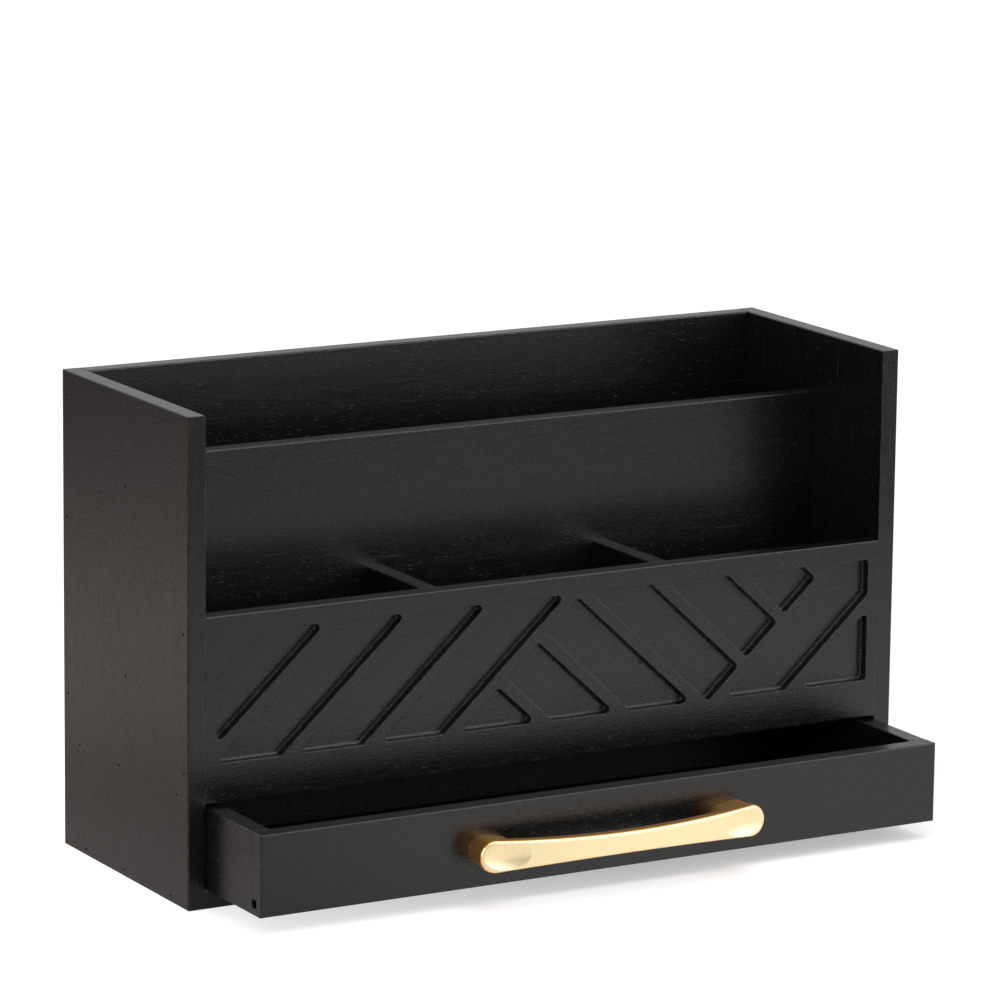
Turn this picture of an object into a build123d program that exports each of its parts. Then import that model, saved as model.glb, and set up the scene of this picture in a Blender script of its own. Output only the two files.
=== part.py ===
from build123d import *
import math
import os

# Desk-top envelope sorter with a drawer: a butt-jointed wooden case with one tall slot at
# the back, three compartments in front of it, and a shallow drawer under both.
# Millimetres. Origin at the centre of the case's underside, front towards -Y, +Z up.
# The drawer stands partly open, as photographed.

# ---- case ----
case_width = 320.0
case_depth = 110.0
case_height = 192.5
board = 7.5                   # every board of the case
edge_round = 0.5              # exposed edges are sanded
bay_height = 33.7             # clear height of the drawer bay
front_panel_height = 73.3
mid_panel_height = 118.8
compartment_depth = 42.8      # clear depth of the front compartments

# ---- drawer ----
drawer_board = 7.5
slide_gap = 0.3               # under the drawer and at each side of it
headroom = 1.1                # above the drawer
rear_gap = 0.5                # behind the drawer when it is shut
drawer_open = 45.4            # how far it stands out in the photograph
bottom_ply = 3.2
groove_depth = 4.0
groove_slack = 0.3            # the ply lies loose in its groove
groove_lift = 2.6             # wood left under the groove

# ---- routed relief on the front panel ----
relief_width = 295.8
relief_height = 50.3
relief_drop = 7.5             # from the panel's top edge to the field
relief_depth = 3.6
cutter_radius = 1.7
bar_lean = 42.4               # degrees from the horizontal
bar_width = 4.7
bar_pitch = 35.7              # from bar to bar, along the panel
left_bar_start = -160.5       # first bar that leans right, at the field's mid height
left_bar_count = 5
right_bar_start = 104.0       # the same lean again, near the right end
right_bar_count = 2
middle_bar_start = -30.6      # bars that lean left fill the space between
middle_bar_count = 6
smallest_pocket = 100.0       # square millimetres; a smaller corner is left uncut

# ---- handle ----
handle_length = 128.0
handle_end_height = 12.8
handle_waist_height = 8.7
handle_thickness = 4.0
handle_end_reach = 12.0       # from the drawer front to the face of the bar's ends
handle_bow = 5.6              # how much further the middle stands out
handle_height = 14.9          # its middle line, above the drawer's underside
handle_edge = 1.2
screw_inset = 10.0            # from each tip of the bar to the screw in its foot
foot_outer_radius = 5.8       # the feet are drop-shaped, fuller at their outer end
foot_outer_shift = 3.2        # from the screw to the centre of that end
foot_inner_radius = 4.4
foot_inner_shift = 4.4
dish_length = 20.2
dish_height = 10.9
dish_depth = 1.3
dish_rim = 0.8

# ---- fasteners ----
screw_diameter = 4.0
screw_head_diameter = 8.0
screw_head_height = 2.2
screw_grip = 6.0              # length inside the foot
screw_play = 0.2              # radial, through the drawer front
thread_play = 0.05            # radial, in the foot
tap_spare = 1.0               # the tapped hole goes deeper than the screw
brad_diameter = 0.9
brad_head_diameter = 1.2
brad_head_height = 0.5
brad_length = 19.0
brad_sink = 0.25              # heads are set below the face
brad_play = 0.05
brad_row_drop = 1.1           # the rows in level boards sit a little under the middle
# where the brads sit, as shares of the way along the end of each board
back_brads_at = (0.048, 0.324, 0.697, 0.952)
front_brads_at = (0.166, 0.911)
mid_brads_at = (0.271, 0.904)
deck_brads_at = (0.025, 0.549, 0.928)
bottom_brads_at = (0.143, 0.545, 0.874)
drawer_brads_at = (0.34, 0.81)

# ---- levels and faces worked out from the sizes above ----
side_x = case_width / 2
inner_x = side_x - board
front_y = -case_depth / 2
back_y = case_depth / 2
rear_inner_y = back_y - board
deck_bottom = board + bay_height
deck_top = deck_bottom + board
front_panel_top = deck_bottom + front_panel_height
mid_panel_top = deck_top + mid_panel_height
mid_front_y = front_y + board + compartment_depth
mid_back_y = mid_front_y + board
compartment_width = (2 * inner_x - 2 * board) / 3
divider_x = compartment_width / 2 + board / 2

drawer_x = inner_x - slide_gap
drawer_bottom_z = board + slide_gap
drawer_height = bay_height - slide_gap - headroom
drawer_top_z = drawer_bottom_z + drawer_height
drawer_length = case_depth - board - rear_gap
drawer_front_y = front_y - drawer_open
drawer_back_y = drawer_front_y + drawer_length
groove_z = drawer_bottom_z + groove_lift
groove_height = bottom_ply + groove_slack
handle_z = drawer_bottom_z + handle_height
screw_x = handle_length / 2 - screw_inset
handle_reach = handle_end_reach + handle_bow
bow_radius = ((handle_length / 2) ** 2 + handle_bow ** 2) / (2 * handle_bow)


def slab(x0, x1, y0, y1, z0, z1):
    """A plain board between six planes."""
    return Pos(x0, y0, z0) * Box(x1 - x0, y1 - y0, z1 - z0, align=(Align.MIN, Align.MIN, Align.MIN))


def top_edges(part, along):
    """The two long edges of a board's top face."""
    return part.faces().sort_by(Axis.Z)[-1].edges().filter_by(along)


def rod_x(x_from, x_to, y, z, radius):
    """A round rod along X."""
    length = x_to - x_from
    return Pos((x_from + x_to) / 2, y, z) * Rot(0, 90, 0) * Cylinder(radius, length)


def rod_y(y_from, y_to, x, z, radius):
    """A round rod along Y."""
    length = y_to - y_from
    return Pos(x, (y_from + y_to) / 2, z) * Rot(90, 0, 0) * Cylinder(radius, length)


# ---- brads: nails driven through the sides into the ends of the boards ----

def along(start, end, shares):
    """Points at the given shares of the way from start to end."""
    return [start + share * (end - start) for share in shares]


def case_brad_places():
    """(y, z) of each brad in a case side, one row for each board that ends on it."""
    level = board / 2 - brad_row_drop
    places = [(back_y - board / 2, z) for z in along(0, case_height, back_brads_at)]
    places += [(front_y + board / 2, z) for z in along(deck_bottom, front_panel_top, front_brads_at)]
    places += [(mid_front_y + board / 2, z) for z in along(deck_top, mid_panel_top, mid_brads_at)]
    places += [(y, deck_bottom + level) for y in along(front_y + board, rear_inner_y, deck_brads_at)]
    places += [(y, level) for y in along(front_y, rear_inner_y, bottom_brads_at)]
    return places


def drawer_brad_places():
    """(y, z) of each brad in a drawer side, into the end of the drawer's back."""
    back_mid = drawer_back_y - drawer_board / 2
    return [(back_mid, z) for z in along(drawer_bottom_z, drawer_top_z, drawer_brads_at)]


def brad(face_x, y, z, inward, play=0.0):
    """One brad, or its hole with some play, driven from the face at face_x."""
    tip = face_x + inward * (brad_sink + brad_length + play)
    top = face_x + inward * (brad_sink if play == 0.0 else 0.0)
    under_head = face_x + inward * (brad_sink + brad_head_height + play)
    shank = rod_x(min(top, tip), max(top, tip), y, z, brad_diameter / 2 + play)
    head = rod_x(min(top, under_head), max(top, under_head), y, z, brad_head_diameter / 2 + play)
    return shank + head


def brads(face_x, places, inward, play=0.0):
    """All brads of one side."""
    return [brad(face_x, y, z, inward, play) for y, z in places]


left_brads = brads(-side_x, case_brad_places(), 1)
right_brads = brads(side_x, case_brad_places(), -1)
case_brad_holes = brads(-side_x, case_brad_places(), 1, brad_play)
case_brad_holes += brads(side_x, case_brad_places(), -1, brad_play)
drawer_brads = brads(-drawer_x, drawer_brad_places(), 1) + brads(drawer_x, drawer_brad_places(), -1)
drawer_brad_holes = brads(-drawer_x, drawer_brad_places(), 1, brad_play)
drawer_brad_holes += brads(drawer_x, drawer_brad_places(), -1, brad_play)


# ---- boards of the case ----

def side_panel(hand):
    """Full-height side; hand is -1 for the left one and 1 for the right one."""
    x0, x1 = sorted((hand * side_x, hand * inner_x))
    panel = slab(x0, x1, front_y, back_y, 0, case_height)
    outer_face = panel.faces().sort_by(Axis.X)[0 if hand < 0 else -1]
    inner_top = top_edges(panel, Axis.Y).sort_by(Axis.X)[-1 if hand < 0 else 0]
    return fillet(outer_face.edges() + [inner_top], edge_round)


def back_panel():
    panel = slab(-inner_x, inner_x, rear_inner_y, back_y, 0, case_height)
    return fillet(top_edges(panel, Axis.X), edge_round)


def mid_panel():
    panel = slab(-inner_x, inner_x, mid_front_y, mid_back_y, deck_top, mid_panel_top)
    return fillet(top_edges(panel, Axis.X), edge_round)


def deck_board():
    """Floor of the slot and the compartments, and roof of the drawer bay."""
    return slab(-inner_x, inner_x, front_y + board, rear_inner_y, deck_bottom, deck_top)


def bottom_board():
    return slab(-inner_x, inner_x, front_y, rear_inner_y, 0, board)


def divider(hand):
    """One of the two dividers between the front compartments."""
    middle = hand * divider_x
    panel = slab(middle - board / 2, middle + board / 2, front_y + board, mid_front_y,
                 deck_top, front_panel_top)
    return fillet(top_edges(panel, Axis.Y), edge_round)


# ---- the relief: pockets routed between leaning bars ----

def leaning_bars(start, count, lean):
    """Parallel bars across the field, start is where the first crosses its mid height."""
    reach = 4 * relief_height
    bars = []
    for index in range(count):
        bars.append(Pos(start + index * bar_pitch, 0) * Rot(0, 0, lean) * Rectangle(reach, bar_width))
    return bars


def between_lines(left, right, lean):
    """The part of the plane between two leaning lines that cross mid height at left and right."""
    shift = relief_height / math.tan(math.radians(lean))
    corners = [(left - shift, -relief_height), (right - shift, -relief_height),
               (right + shift, relief_height), (left + shift, relief_height)]
    return make_face(Polyline(*corners, close=True))


def relief_pockets():
    """Outlines of the pockets, with corners as round as the cutter leaves them."""
    last_left_bar = left_bar_start + (left_bar_count - 1) * bar_pitch
    middle_field = between_lines(last_left_bar, right_bar_start, bar_lean)
    field = Rectangle(relief_width, relief_height)
    rightward = leaning_bars(left_bar_start, left_bar_count, bar_lean)
    rightward += leaning_bars(right_bar_start, right_bar_count, bar_lean)
    for bar in rightward:
        field -= bar
    for bar in leaning_bars(middle_bar_start, middle_bar_count, -bar_lean):
        field -= bar & middle_field
    pockets = [face for face in field.faces() if face.area > smallest_pocket]
    cutter_paths = [offset(pocket, -cutter_radius, kind=Kind.INTERSECTION) for pocket in pockets]
    return [offset(path, cutter_radius, kind=Kind.ARC) for path in cutter_paths]


def front_panel():
    panel = slab(-inner_x, inner_x, front_y, front_y + board, deck_bottom, front_panel_top)
    lower_front = panel.faces().sort_by(Axis.Y)[0].edges().filter_by(Axis.X).sort_by(Axis.Z)[0]
    panel = fillet(top_edges(panel, Axis.X) + [lower_front], edge_round)
    field_middle = front_panel_top - relief_drop - relief_height / 2
    floor_plane = Plane((0, front_y + relief_depth, field_middle), x_dir=(1, 0, 0), z_dir=(0, -1, 0))
    for pocket in relief_pockets():
        panel -= extrude(floor_plane * pocket, relief_depth)
    return panel


# ---- drawer ----

def drawer_front():
    panel = slab(-drawer_x, drawer_x, drawer_front_y, drawer_front_y + drawer_board,
                 drawer_bottom_z, drawer_top_z)
    face = panel.faces().sort_by(Axis.Y)[0]
    inner_top = top_edges(panel, Axis.X).sort_by(Axis.Y)[-1]
    panel = fillet(face.edges() + [inner_top], edge_round)
    inner_y = drawer_front_y + drawer_board
    panel -= slab(-drawer_x, drawer_x, inner_y - groove_depth, inner_y,
                  groove_z, groove_z + groove_height)
    for x in (-screw_x, screw_x):
        panel -= rod_y(drawer_front_y, inner_y, x, handle_z, screw_diameter / 2 + screw_play)
    return panel


def drawer_side(hand):
    x0, x1 = sorted((hand * drawer_x, hand * (drawer_x - drawer_board)))
    panel = slab(x0, x1, drawer_front_y + drawer_board, drawer_back_y, drawer_bottom_z, drawer_top_z)
    panel = fillet(top_edges(panel, Axis.Y), edge_round)
    inner = hand * (drawer_x - drawer_board)
    g0, g1 = sorted((inner, inner + hand * groove_depth))
    return panel - slab(g0, g1, drawer_front_y + drawer_board, drawer_back_y,
                        groove_z, groove_z + groove_height)


def drawer_back():
    inner = drawer_x - drawer_board
    panel = slab(-inner, inner, drawer_back_y - drawer_board, drawer_back_y,
                 drawer_bottom_z, drawer_top_z)
    panel = fillet(top_edges(panel, Axis.X), edge_round)
    inner_y = drawer_back_y - drawer_board
    return panel - slab(-inner, inner, inner_y, inner_y + groove_depth,
                        groove_z, groove_z + groove_height)


def drawer_bottom():
    """Thin ply that lies in the groove of the four drawer boards."""
    hold = groove_depth - groove_slack
    x = drawer_x - drawer_board + hold
    y0 = drawer_front_y + drawer_board - hold
    y1 = drawer_back_y - drawer_board + hold
    return slab(-x, x, y0, y1, groove_z, groove_z + bottom_ply)


# ---- handle: a cast bow pull on two feet, with a thumb dish at each end ----

def bow_crescent():
    """The bowed strip seen from above, wider than the bar: two round discs, one behind the other."""
    front_disc = Pos(0, bow_radius - handle_reach) * Circle(bow_radius)
    back_disc = Pos(0, bow_radius - handle_reach + handle_thickness) * Circle(bow_radius)
    return front_disc - back_disc


def waisted_outline():
    """The bar seen from the front: round ends, and long arcs that run into them smoothly."""
    shoulder = (handle_length - handle_end_height) / 2
    end_radius = handle_end_height / 2
    waist = handle_waist_height / 2
    waist_radius = (shoulder ** 2 + waist ** 2 - end_radius ** 2) / (2 * (end_radius - waist))
    tilt = math.atan2(shoulder, waist + waist_radius)
    touch_x = shoulder - end_radius * math.sin(tilt)
    touch_z = end_radius * math.cos(tilt)
    tip = handle_length / 2
    edges = []
    for sign in (-1, 1):
        edges.append(ThreePointArc((-touch_x, sign * touch_z), (0, sign * waist), (touch_x, sign * touch_z)))
        edges.append(ThreePointArc((sign * touch_x, touch_z), (sign * tip, 0), (sign * touch_x, -touch_z)))
    return make_face(edges)


def handle_bar():
    """The crescent from above crossed with the outline from the front, with its face rounded off."""
    strip = extrude(bow_crescent(), handle_end_height, both=True)
    bar = strip & extrude(Plane.XZ * waisted_outline(), handle_reach)
    front_face = bar.faces().filter_by(lambda face: face.normal_at().Y < -0.9)[0]
    return fillet(front_face.edges(), handle_edge)


def handle_feet():
    """A mirrored pair of drop-shaped feet between the drawer front and the bar."""
    outer = Pos(-screw_x - foot_outer_shift, 0) * Circle(foot_outer_radius)
    inner = Pos(-screw_x + foot_inner_shift, 0) * Circle(foot_inner_radius)
    drop = make_hull(outer.edges() + inner.edges())
    foot = extrude(Plane.XZ * drop, handle_end_reach - handle_thickness / 2)
    return [foot, foot.mirror(Plane.YZ)]


def thumb_dish(side):
    """Cutter for the shallow oval dish: a short arc turned about a line along the bar."""
    half = dish_length / 2
    radius = ((dish_height / 2) ** 2 + dish_depth ** 2) / (2 * dish_depth)
    lift = radius - dish_depth
    profile = [ThreePointArc((-half, lift), (0, radius), (half, lift)),
               Polyline((half, lift), (half, 0), (-half, 0), (-half, lift))]
    body = revolve(make_face(profile), Axis.X)
    middle = handle_length / 2 - dish_rim - half
    tilt = math.degrees(math.asin(middle / bow_radius))
    face_reach = handle_reach - bow_radius * (1 - math.cos(math.radians(tilt)))
    return Pos(side * middle, -face_reach, 0) * Rot(0, 0, side * tilt) * Pos(0, -lift, 0) * body


def drawer_handle():
    handle = handle_bar() + handle_feet()
    handle -= [thumb_dish(side) for side in (-1, 1)]
    handle = Pos(0, drawer_front_y, handle_z) * handle
    for x in (-screw_x, screw_x):
        handle -= rod_y(drawer_front_y - screw_grip - tap_spare, drawer_front_y, x, handle_z,
                        screw_diameter / 2 + thread_play)
    return handle


def handle_screw(x):
    """Machine screw with a pan head inside the drawer."""
    seat = drawer_front_y + drawer_board
    shank = rod_y(drawer_front_y - screw_grip, seat, x, handle_z, screw_diameter / 2)
    head = rod_y(seat, seat + screw_head_height, x, handle_z, screw_head_diameter / 2)
    crown = head.faces().sort_by(Axis.Y)[-1].edges()
    return shank + fillet(crown, screw_head_height / 2)


# ---- put together ----

def drilled(part, holes):
    """The board with the brad holes that reach it."""
    box = part.bounding_box()
    for hole in holes:
        reach = hole.bounding_box()
        apart = (reach.max.X < box.min.X or reach.min.X > box.max.X
                 or reach.max.Y < box.min.Y or reach.min.Y > box.max.Y
                 or reach.max.Z < box.min.Z or reach.min.Z > box.max.Z)
        if not apart:
            part -= hole
    return part


case_boards = {
    "left_side_panel": side_panel(-1),
    "right_side_panel": side_panel(1),
    "back_panel": back_panel(),
    "mid_panel": mid_panel(),
    "front_panel": front_panel(),
    "deck_board": deck_board(),
    "bottom_board": bottom_board(),
    "left_divider": divider(-1),
    "right_divider": divider(1),
}
drawer_boards = {
    "drawer_front": drawer_front(),
    "drawer_left_side": drawer_side(-1),
    "drawer_right_side": drawer_side(1),
    "drawer_back": drawer_back(),
    "drawer_bottom": drawer_bottom(),
}
nodes = {name: drilled(part, case_brad_holes) for name, part in case_boards.items()}
nodes.update({name: drilled(part, drawer_brad_holes) for name, part in drawer_boards.items()})
nodes["drawer_handle"] = drawer_handle()
screws = [handle_screw(x) for x in (-screw_x, screw_x)]
nodes["handle_screws"] = Compound(children=screws)
nodes["left_side_brads"] = Compound(children=left_brads)
nodes["right_side_brads"] = Compound(children=right_brads)
nodes["drawer_brads"] = Compound(children=drawer_brads)

os.makedirs("parts", exist_ok=True)
for name, part in nodes.items():
    export_step(part, f"parts/{name}.step")
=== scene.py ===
import bpy
import math
from mathutils import Matrix, Vector

# Desk-top envelope sorter with a drawer: a butt-jointed case of black-stained boards with a
# tall slot, three compartments and a shallow drawer with a satin gold bow handle.

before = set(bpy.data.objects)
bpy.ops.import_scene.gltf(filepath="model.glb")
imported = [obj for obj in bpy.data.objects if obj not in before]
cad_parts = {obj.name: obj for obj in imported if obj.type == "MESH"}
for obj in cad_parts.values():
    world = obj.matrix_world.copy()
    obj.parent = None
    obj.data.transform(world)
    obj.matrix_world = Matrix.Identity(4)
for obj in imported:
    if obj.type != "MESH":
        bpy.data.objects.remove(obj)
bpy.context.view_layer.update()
scene = bpy.context.scene
scene.view_settings.view_transform = "Standard"


# ---- camera ----
# A long lens a little over two metres away, as for a catalogue picture: it looks along the
# front from the left and slightly down, and is rolled by half a degree.

looked_at = Vector((-0.02459, -0.055, 0.14798))
distance = 2.1478
turn = math.radians(-29.837)            # round the object, from straight in front
lift = math.radians(11.911)             # above the level
roll = math.radians(0.658)
toward_camera = Vector((math.sin(turn) * math.cos(lift), -math.cos(turn) * math.cos(lift),
                        math.sin(lift)))
camera_data = bpy.data.cameras.new("catalogue_camera")
camera_data.sensor_width = 36.0
camera_data.lens = 198.94
camera = bpy.data.objects.new("catalogue_camera", camera_data)
facing = toward_camera.to_track_quat("Z", "Y").to_matrix().to_4x4()
camera.matrix_world = (Matrix.Translation(looked_at + toward_camera * distance) @ facing
                       @ Matrix.Rotation(roll, 4, "Z"))
scene.collection.objects.link(camera)
scene.camera = camera


# ---- studio: floor, surroundings and lamps ----
# A sheet of matt white paper on a grey studio floor, in a dim room with four soft lamps. The
# sorter is nearly black and glossy, so it mirrors the sheet, which fades behind its left side.
# Seen directly, the paper is lifted to the white of the page, and keeps the shadow.

def linear(hex_colour):
    """sRGB hex to the linear colour that the shaders take."""
    channels = []
    for i in (1, 3, 5):
        value = int(hex_colour[i:i + 2], 16) / 255
        channels.append(value / 12.92 if value <= 0.04045 else ((value + 0.055) / 1.055) ** 2.4)
    return (*channels, 1.0)


def add(tree, kind, links=None, **settings):
    """Adds one node: settings by attribute, links by socket (a value, or an output to join)."""
    made = tree.nodes.new("ShaderNode" + kind)
    for attribute, value in settings.items():
        setattr(made, attribute, value)
    for socket, value in (links or {}).items():
        if isinstance(value, bpy.types.NodeSocket):
            tree.links.new(value, made.inputs[socket])
        else:
            made.inputs[socket].default_value = value
    return made


def sums(tree, operation, first, second, third=None, **settings):
    """One Math node; the third input is the addend of a MULTIPLY_ADD."""
    links = {0: first, 1: second} if third is None else {0: first, 1: second, 2: third}
    return add(tree, "Math", links, operation=operation, **settings).outputs[0]


def ramp(tree, value, start, end, low=0.0, high=1.0, **settings):
    """Carries a value from the range start to end over to the range low to high."""
    return add(tree, "MapRange", {"Value": value, "From Min": start, "From Max": end,
                                  "To Min": low, "To Max": high}, **settings).outputs[0]


mix_sockets = {"FLOAT": (2, 3, 0), "VECTOR": (4, 5, 1), "RGBA": (6, 7, 2)}   # two in, one out


def mixed(tree, kind, share, first, second):
    """Mixes two numbers, directions or colours by a share of the second."""
    one, other, result = mix_sockets[kind]
    return add(tree, "Mix", {0: share, one: first, other: second}, data_type=kind).outputs[result]


def new_tree(owner):
    """An empty node tree for a material or a world."""
    owner.use_nodes = True
    owner.node_tree.nodes.clear()
    return owner.node_tree


def mirror_and_camera(tree):
    """Whether a ray comes off a glossy surface or through one, and whether it is the camera's."""
    path = add(tree, "LightPath")
    mirrored = sums(tree, "MAXIMUM", path.outputs["Is Glossy Ray"],
                    path.outputs["Is Transmission Ray"])
    return mirrored, path.outputs["Is Camera Ray"]


white = linear("#FFFFFF")
paper_colour = linear("#DCDCDC")
floor_colour = linear("#5F5F5F")        # the studio floor past the edge of the paper
sheet_middle = (0.24, -0.18, 0.0)       # metres; the sheet lies a little towards the key lamp
sheet_reach = (0.20, 0.58)              # metres from its middle, where it starts and ends to fade
near_lift = 0.42                        # brings the lit paper near the sorter to the page's white
far_lift = 1.0                          # the same for the floor past the sheet
gloss_lift = 0.36                       # what plating and lacquer see of the sheet
far_gloss_lift = 0.05                   # and of the floor past it
half_floor = 9.0                        # metres
room_glow = 0.25                        # diffuse light from the walls
wall_glow = (0.5, 0.65)                 # what the gloss sees of them, in front and behind
wall_turn = (-0.3, 0.5)                 # where the glow turns from one to the other, front to back

paper = bpy.data.materials.new("matt_white_paper")
tree = new_tree(paper)
mirrored, seen_directly = mirror_and_camera(tree)
from_middle = add(tree, "VectorMath", {0: add(tree, "TexCoord").outputs["Object"],
                                       1: sheet_middle}, operation="DISTANCE").outputs["Value"]
away = ramp(tree, from_middle, *sheet_reach, interpolation_type="SMOOTHSTEP")
mirrored = sums(tree, "MULTIPLY", mirrored,
                mixed(tree, "FLOAT", away, gloss_lift, far_gloss_lift))
strength = sums(tree, "MULTIPLY_ADD", seen_directly,
                mixed(tree, "FLOAT", away, near_lift, far_lift), mirrored)
lifted = add(tree, "Emission", {"Color": white, "Strength": strength})
shade = mixed(tree, "RGBA", away, paper_colour, floor_colour)
lit_paper = add(tree, "BsdfDiffuse", {"Color": shade})
paper_sum = add(tree, "AddShader", {0: lit_paper.outputs[0], 1: lifted.outputs[0]})
add(tree, "OutputMaterial", {"Surface": paper_sum.outputs[0]})

floor_mesh = bpy.data.meshes.new("studio_floor")
corners = [(-half_floor, -half_floor, 0), (half_floor, -half_floor, 0),
           (half_floor, half_floor, 0), (-half_floor, half_floor, 0)]
floor_mesh.from_pydata(corners, [], [(0, 1, 2, 3)])
floor_mesh.materials.append(paper)
floor = bpy.data.objects.new("studio_floor", floor_mesh)
scene.collection.objects.link(floor)

room = bpy.data.worlds.new("studio_walls")
tree = new_tree(room)
mirrored, seen_directly = mirror_and_camera(tree)
outward = add(tree, "TexCoord").outputs["Generated"]
toward_back = add(tree, "SeparateXYZ", {0: outward}).outputs["Y"]
wall = sums(tree, "MAXIMUM", ramp(tree, toward_back, *wall_turn, *wall_glow), seen_directly)
walls = add(tree, "MixShader", {
    0: sums(tree, "MAXIMUM", mirrored, seen_directly),
    1: add(tree, "Background", {"Color": white, "Strength": room_glow}).outputs[0],
    2: add(tree, "Background", {"Color": white, "Strength": wall}).outputs[0]})
add(tree, "OutputWorld", {"Surface": walls.outputs[0]})
scene.world = room


def softbox(name, place, aim, size, power, colour="#FFFFFF"):
    """A square soft lamp that faces the point aim: metres and watts."""
    data = bpy.data.lights.new(name, "AREA")
    data.shape = "SQUARE"
    data.size = size
    data.energy = power
    data.color = linear(colour)[:3]
    lamp = bpy.data.objects.new(name, data)
    backward = (Vector(place) - Vector(aim)).to_track_quat("Z", "Y")
    lamp.matrix_world = Matrix.Translation(Vector(place)) @ backward.to_matrix().to_4x4()
    scene.collection.objects.link(lamp)


softbox("softbox_right", (1.2, -1.3, 0.95), (0.1, -0.1, 0.05), 1.9, 24.0)
softbox("softbox_top", (0.0, -0.8, 1.8), (0, -0.2, 0.09), 1.4, 18.0)
softbox("softbox_left", (-1.35, -0.65, 0.45), (0, -0.1, 0.05), 0.8, 11.0)
# this one lights the floor that the left side mirrors, and is turned so that its front just
# misses the sorter and draws no bright line on the top edges
softbox("softbox_floor", (-0.36, 0.34, 0.36), (-0.46, 0.51, 0), 0.5, 10.4, "#FFE8DD")


# ---- sides of the case ----
# Two solid boards of open-pored hardwood, grain upright, stained black through the pores and
# sealed with a thin satin lacquer. They are nailed to the ends of all the other boards.

board_axes = {"X": ("X", "Y", "Z"), "Y": ("Y", "X", "Z"), "Z": ("Z", "X", "Y")}
board_step = (37.0, 91.0, 53.0)         # millimetres from one board's pattern to the next one's

# millimetres along the grain and across it; real fibres and pores are half as wide, which is
# too fine for the picture
wander_size = (120, 50)
year_band_size = (90, 6)
fibre_size = (12, 0.8)
pore_size = (4, 0.7)
long_pore_size = (26, 0.9)
stipple_size = (0.9, 0.7)

grain_wander = 9.0                      # millimetres sideways, over the length of a board
dust_per_millimetre = 1.3
rub_per_millimetre = 0.2
edge_radius = 0.0005                    # metres; the sanded edges
gather_radius = 0.0023                  # metres; the lacquer in the inner corners
corner_reach = 0.0018                   # metres from the wall
lacquer_relief = 0.00004                # metres between its high and its low places

# where a pattern's value starts and ends to count
fibre_contrast = (0.3, 0.7)
pore_rim = (0.34, 0.14)                 # distance from the middle of its cell
long_pore_rim = (0.3, 0.1)
pale_stipple = (0.44, 0.3)
matt_stipple = (0.45, 0.7)
dust_grain = (0.66, 0.74)
rubbed_patch = (0.46, 0.6)
rounded_edge = (0.995, 0.93)            # cosine of how far the face has turned
sheltered = (0.95, 0.85)                # share of open sky
looks_to_front = -0.9                   # a normal's Y is below this
open_pore = 0.9                         # only the cells above this share hold a pore
open_long_pore = 0.975

dark_stain = linear("#030303")
pale_stain = linear("#0B0A0A")
pale_speck = linear("#151413")
pore_black = linear("#040404")
# a paler colour on rubbed edges: partly wear, partly a painted highlight along the edges
rub_and_highlight_colour = linear("#4A4642")
gloss_swing = 0.08                      # roughness, up and down with the grain
pore_roughness = 0.75
fibre_height = 0.35                     # heights as shares of a pore's depth
band_height = 0.5
stipple_height = 1.5
dust_height = 0.4


def stretched(tree, place, size):
    """Divides a place by a size along the grain and a size across it."""
    along, across = size
    return add(tree, "VectorMath", {0: place, 1: (1 / along, 1 / across, 1 / across)},
               operation="MULTIPLY").outputs[0]


def noise(tree, place, detail, roughness=0.5, scale=1.0, output=0):
    """A noise of the given scale, with 0.5 as its middle."""
    return add(tree, "TexNoise", {"Vector": place, "Scale": scale, "Detail": detail,
                                  "Roughness": roughness}).outputs[output]


def pores(tree, place, size, rim, share):
    """Long cells along the grain, of which only a few are open: 1 inside a pore, 0 outside."""
    cells = add(tree, "TexVoronoi", {"Vector": stretched(tree, place, size), "Scale": 1.0})
    lot = add(tree, "SeparateColor", {0: cells.outputs["Color"]}).outputs[0]
    return sums(tree, "MULTIPLY", ramp(tree, cells.outputs["Distance"], *rim),
                sums(tree, "GREATER_THAN", lot, share))


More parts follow.
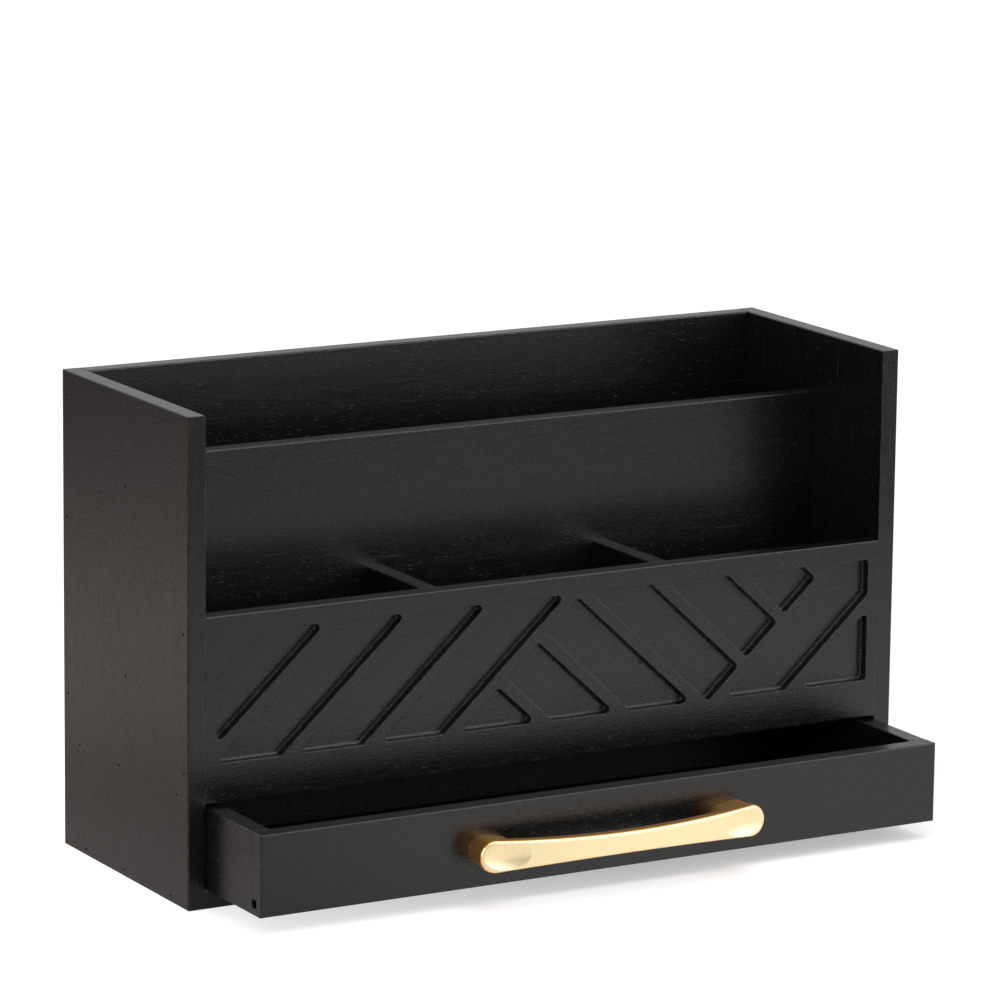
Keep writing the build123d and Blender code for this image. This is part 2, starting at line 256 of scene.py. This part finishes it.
def black_stained_wood(name, grain, seed, roughness=0.25):
    """Stain leaves almost no colour: what the eye sees is the lacquer's sheen, broken by pores and
    fibres, and a faint paler rub along the sanded edges, partly wear and partly a painted
    highlight line. The grain runs along one axis."""
    material = bpy.data.materials.new(name)
    tree = new_tree(material)
    place = add(tree, "TexCoord").outputs["Object"]
    millimetres = add(tree, "VectorMath", {0: place, 3: 1000.0}, operation="SCALE").outputs[0]
    own_place = tuple(seed * step for step in board_step)
    shifted = add(tree, "VectorMath", {0: millimetres, 1: own_place}, operation="ADD").outputs[0]
    axes = add(tree, "SeparateXYZ", {0: shifted})
    along, across, deep = (axes.outputs[axis] for axis in board_axes[grain])
    straight = add(tree, "CombineXYZ", {0: along, 1: across, 2: deep}).outputs[0]

    # the grain wanders sideways, and year bands, fibres and pores follow it
    wander = noise(tree, stretched(tree, straight, wander_size), 1.0, output="Color")
    for operation, by in (("SUBTRACT", (0.5, 0.5, 0.5)),
                          ("MULTIPLY", (0.0, grain_wander, grain_wander)), ("ADD", straight)):
        wander = add(tree, "VectorMath", {0: wander, 1: by}, operation=operation).outputs[0]
    band = noise(tree, stretched(tree, wander, year_band_size), 2.0)
    fibre = noise(tree, stretched(tree, wander, fibre_size), 3.0, 0.7)
    fibre = ramp(tree, fibre, *fibre_contrast)
    pore = sums(tree, "ADD", pores(tree, wander, pore_size, pore_rim, open_pore),
                pores(tree, wander, long_pore_size, long_pore_rim, open_long_pore),
                use_clamp=True)

    # the sprayed lacquer dries with a fine stipple, and a little dust stands up in it
    stipple = noise(tree, stretched(tree, straight, stipple_size), 1.0)
    dust = ramp(tree, noise(tree, millimetres, 1.0, scale=dust_per_millimetre), *dust_grain)

    # the sanded edges are rounded and rubbed in places; the paler rub is also a painted highlight
    eased = add(tree, "Bevel", {"Radius": edge_radius}, samples=4).outputs[0]
    flat = add(tree, "NewGeometry").outputs["Normal"]
    turned = add(tree, "VectorMath", {0: eased, 1: flat}, operation="DOT_PRODUCT").outputs["Value"]
    patchy = noise(tree, millimetres, 4.0, 0.7, scale=rub_per_millimetre)
    rub_and_painted_highlight = sums(tree, "MULTIPLY", ramp(tree, patchy, *rubbed_patch),
               ramp(tree, turned, *rounded_edge))

    # the lacquer gathers in the inner corners: there a face that looks to the front curves up to
    # the wall beside it, while the wall itself stays flat
    open_sky = add(tree, "AmbientOcclusion", {"Distance": corner_reach}, samples=4).outputs["AO"]
    gathered = add(tree, "Bevel", {"Radius": gather_radius}, samples=6).outputs[0]
    frontal = sums(tree, "LESS_THAN", add(tree, "SeparateXYZ", {0: flat}).outputs["Y"],
                   looks_to_front)
    inner = mixed(tree, "VECTOR", frontal, flat, gathered)
    shape = mixed(tree, "VECTOR", ramp(tree, open_sky, *sheltered), eased, inner)

    tone = mixed(tree, "FLOAT", 0.5, fibre, band)
    colour = mixed(tree, "RGBA", tone, dark_stain, pale_stain)
    for where, shade in ((ramp(tree, stipple, *pale_stipple), pale_speck), (pore, pore_black),
                         (rub_and_painted_highlight, rub_and_highlight_colour)):
        colour = mixed(tree, "RGBA", where, colour, shade)

    rough = ramp(tree, tone, 0.0, 1.0, roughness + gloss_swing, roughness - gloss_swing)
    rough = sums(tree, "ADD", rough, ramp(tree, stipple, *matt_stipple, 0.0, gloss_swing))
    rough = mixed(tree, "FLOAT", pore, rough, pore_roughness)

    relief = sums(tree, "MULTIPLY", pore, -1.0)
    for pattern, height in ((fibre, fibre_height), (band, band_height), (stipple, stipple_height),
                            (dust, dust_height)):
        relief = sums(tree, "MULTIPLY_ADD", pattern, height, relief)
    bump = add(tree, "Bump", {"Strength": 0.8, "Distance": lacquer_relief, "Height": relief,
                              "Normal": shape}).outputs[0]
    surface = add(tree, "BsdfPrincipled", {"Base Color": colour, "Roughness": rough, "IOR": 1.5,
                                           "Normal": bump})
    add(tree, "OutputMaterial", {"Surface": surface.outputs[0]})
    return material


def dress(node_name, material):
    """Gives a CAD solid its real surface."""
    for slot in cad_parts[node_name].material_slots:
        slot.material = material


dress("left_side_panel", black_stained_wood("stained_left_side", "Z", 1))
dress("right_side_panel", black_stained_wood("stained_right_side", "Z", 2))


# ---- back and middle panels ----
# Two solid boards between the sides, grain lengthways, stained and lacquered like them. They
# make the tall slot for envelopes, and brads through the sides hold their ends.

dress("back_panel", black_stained_wood("stained_back", "X", 3))
dress("mid_panel", black_stained_wood("stained_mid", "X", 4))


# ---- front panel ----
# A low solid board, grain lengthways. A router with a round cutter takes shallow pockets out of
# its face and leaves leaning bars between them, before the stain and the lacquer go on.

dress("front_panel", black_stained_wood("stained_front", "X", 5))


# ---- deck and bottom ----
# Two solid boards between the sides: the deck is the floor of the compartments and the roof of
# the drawer bay, and the bottom carries the drawer. Both are stained black like the rest.

dress("deck_board", black_stained_wood("stained_deck", "X", 6))
dress("bottom_board", black_stained_wood("stained_bottom", "X", 7))


# ---- dividers ----
# Two short boards, grain upright, glued between the front and middle panels. They part the
# front of the sorter into three compartments.

dress("left_divider", black_stained_wood("stained_left_divider", "Z", 8))
dress("right_divider", black_stained_wood("stained_right_divider", "Z", 9))


# ---- drawer box ----
# Four stained boards, butt jointed: the front runs past the sides, and its groove shows at both
# ends. The thin ply bottom sits in the groove, and its face is duller than the solid wood.

ply_roughness = 0.5

dress("drawer_front", black_stained_wood("stained_drawer_front", "X", 10))
dress("drawer_left_side", black_stained_wood("stained_drawer_left", "Y", 11))
dress("drawer_right_side", black_stained_wood("stained_drawer_right", "Y", 12))
dress("drawer_back", black_stained_wood("stained_drawer_back", "X", 13))
dress("drawer_bottom", black_stained_wood("stained_ply", "X", 14, roughness=ply_roughness))


# ---- handle ----
# A zinc casting with a bowed bar, two feet and a dished end on each side, tumbled smooth and
# plated a pale satin gold. Two screws hold it through the drawer front.

haze_per_metre = 1000 / 1.2             # the haze in the polish is a little over a millimetre wide
haze_contrast = (0.3, 0.7)
haze_dulling = 0.93                     # of the colour, where the haze is thick
haze_swing = 0.08                       # of the roughness
haze_relief = 0.00001                   # metres
# the handle's sides and back are painted darker as shade, by which way they face
shaded_side_facing = (-0.85, -0.55)            # how far a side looks away from the front
shaded_back_facing = (0.2, 0.7)
# painted shade for the back of the bar, which looks at the black wood
painted_back_shade_gold = linear("#6E5536")


def plated(name, colour, rough, shaded_flank=None):
    """Plating on a tumbled casting, with a slight haze in the polish. Where a flank colour is
    given, shade is painted by the way each surface faces: the front face keeps the pale colour,
    the sides get the deeper flank gold and the back a dull dark gold, both as painted shade."""
    material = bpy.data.materials.new(name)
    tree = new_tree(material)
    coordinates = add(tree, "TexCoord")
    haze = noise(tree, coordinates.outputs["Object"], 3.0, scale=haze_per_metre)
    duller = tuple(haze_dulling * channel for channel in linear(colour)[:3]) + (1.0,)
    shade = mixed(tree, "RGBA", ramp(tree, haze, *haze_contrast), linear(colour), duller)
    # painted shade: the sides take the deeper gold and the back the dark gold
    if shaded_flank:
        facing = add(tree, "SeparateXYZ", {0: coordinates.outputs["Normal"]}).outputs["Y"]
        sides = mixed(tree, "RGBA", ramp(tree, facing, *shaded_back_facing), linear(shaded_flank), painted_back_shade_gold)
        shade = mixed(tree, "RGBA", ramp(tree, facing, *shaded_side_facing), shade, sides)
    roughness = ramp(tree, haze, 0.0, 1.0, rough - haze_swing, rough + haze_swing)
    bump = add(tree, "Bump", {"Strength": 0.5, "Distance": haze_relief, "Height": haze}).outputs[0]
    surface = add(tree, "BsdfPrincipled", {"Base Color": shade, "Metallic": 1.0,
                                           "Roughness": roughness, "Normal": bump})
    add(tree, "OutputMaterial", {"Surface": surface.outputs[0]})
    return material


# a pale face colour, and a deeper gold that paints shade on the sides
dress("drawer_handle", plated("satin_gold_plating_painted_shade", "#FBE5B6", 0.36, shaded_flank="#F2B96B"))


# ---- screws and brads ----
# Two zinc-plated machine screws hold the handle from inside the drawer. The brads are fine
# finishing nails, punched just below the face and blackened with the stain.

dress("handle_screws", plated("zinc_plating", "#C8C8C4", 0.32))
brad_paint = plated("blackened_brad", "#1A1918", 0.5)
for group in ("left_side_brads", "right_side_brads", "drawer_brads"):
    dress(group, brad_paint)
